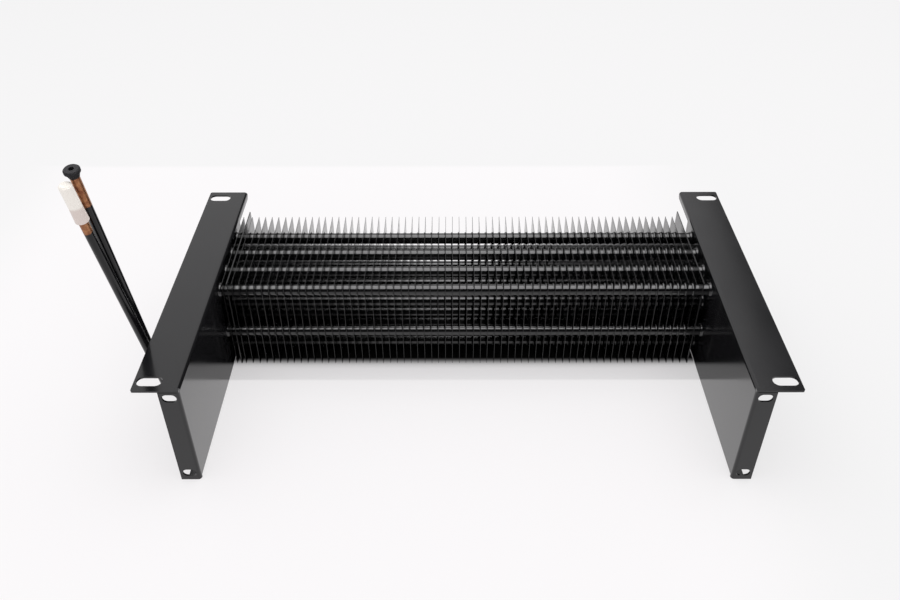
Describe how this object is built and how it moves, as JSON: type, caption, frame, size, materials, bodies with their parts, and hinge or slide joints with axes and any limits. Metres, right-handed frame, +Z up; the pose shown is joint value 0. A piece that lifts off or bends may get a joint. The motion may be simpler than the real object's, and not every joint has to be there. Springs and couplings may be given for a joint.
{
  "type": "evaporator coil",
  "caption": "Finned tube evaporator block held between two folded sheet brackets with slotted mounting flanges and two capped refrigerant pipes.",
  "frame": {"origin": "centre of the four slots in the top flanges, on the flanges' upper face", "axes": "+X along the tubes, from the end with the pipes to the other; +Y from the open front of the brackets to the back of the fins; +Z up, out of the flanges"},
  "size_m": [0.4917, 0.266, 0.252],
  "materials": {
    "bracket_paint": "satin black powder coat",
    "fin_coat": "glossy black epoxy coat on aluminium sheet",
    "tube_coat": "glossy black epoxy coat on copper tube",
    "coated_copper": "black coat with bare copper near the open ends",
    "cap_plastic": "soft translucent white plastic",
    "plug_rubber": "matt black rubber"
  },
  "bodies": {
    "root": {"left_bracket": "bracket_paint", "right_bracket": "bracket_paint", "fins": "fin_coat", "left_end_plate": "fin_coat", "right_end_plate": "fin_coat", "hairpin_1": "tube_coat", "hairpin_2": "tube_coat", "hairpin_3": "tube_coat", "hairpin_4": "tube_coat", "hairpin_5": "tube_coat", "hairpin_6": "tube_coat", "hairpin_7": "tube_coat", "hairpin_8": "tube_coat", "return_bend_1": "tube_coat", "return_bend_2": "tube_coat", "return_bend_3": "tube_coat", "return_bend_4": "tube_coat", "return_bend_5": "tube_coat", "return_bend_6": "tube_coat", "return_bend_7": "tube_coat", "outlet_reducer": "tube_coat", "inlet_reducer": "tube_coat", "outlet_pipe": "coated_copper", "inlet_pipe": "coated_copper", "inlet_cap": "cap_plastic", "outlet_plug": "plug_rubber"}
  },
  "joints": []
}
